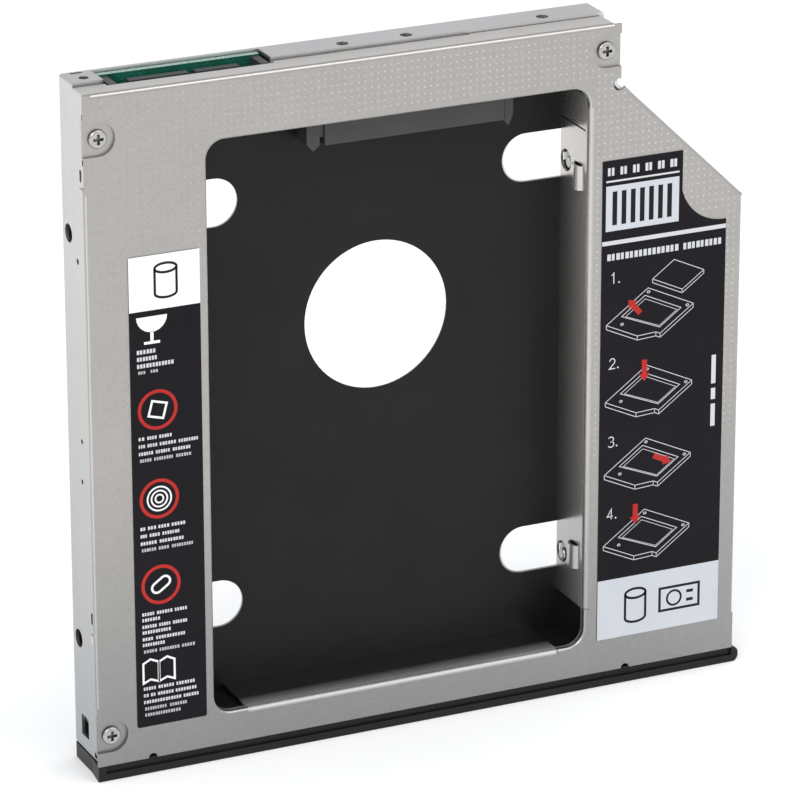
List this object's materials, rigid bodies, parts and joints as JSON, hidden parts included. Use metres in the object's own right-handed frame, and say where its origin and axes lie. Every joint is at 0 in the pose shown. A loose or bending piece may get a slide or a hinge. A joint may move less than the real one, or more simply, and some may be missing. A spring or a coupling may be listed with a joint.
{
  "type": "laptop drive caddy",
  "caption": "Slim-bay sheet-metal caddy that holds a small drive in place of a laptop's optical drive: windowed cover, rear shell, lined bay, adapter board and bezel.",
  "frame": {"origin": "centre of the bounding box at its base, under the bezel strip it stands on", "axes": "+Z from the bezel up to the connector end, -Y out of the windowed front cover, +X to the right seen from the front"},
  "size_m": [0.1292, 0.0128, 0.129],
  "materials": {
    "cover_sheet": "zinc-plated sheet with a fine dimple pattern",
    "shell_sheet": "zinc-plated sheet, satin",
    "black_film": "satin black insulating film",
    "bezel_plastic": "moulded black plastic, fine texture",
    "board_green": "solder mask over copper",
    "connector_plastic": "moulded black plastic",
    "contact_gold": "gold plated",
    "capacitor_body": "ceramic",
    "chip_body": "moulded resin",
    "screw_nickel": "nickel plated",
    "standoff_brass": "turned brass",
    "label_dark": "printed film label"
  },
  "bodies": {
    "root": {"rear_shell": "shell_sheet", "front_cover": "cover_sheet", "bay_liner": "black_film", "bezel": "bezel_plastic", "adapter_board": "board_green", "drive_connector_housing": "connector_plastic", "drive_connector_contacts": "contact_gold", "host_connector_housing": "connector_plastic", "host_connector_contacts": "contact_gold", "board_capacitors": "capacitor_body", "power_switcher": "chip_body", "board_screws": "screw_nickel", "board_standoffs": "standoff_brass", "drive_locating_pins": "screw_nickel", "left_label": "label_dark", "right_label": "label_dark", "cover_screw_top_left": "screw_nickel", "cover_screw_top_right": "screw_nickel", "cover_screw_bottom_left": "screw_nickel", "cover_boss_top_left": "standoff_brass", "cover_boss_top_right": "standoff_brass", "cover_boss_bottom_left": "standoff_brass"}
  },
  "joints": []
}
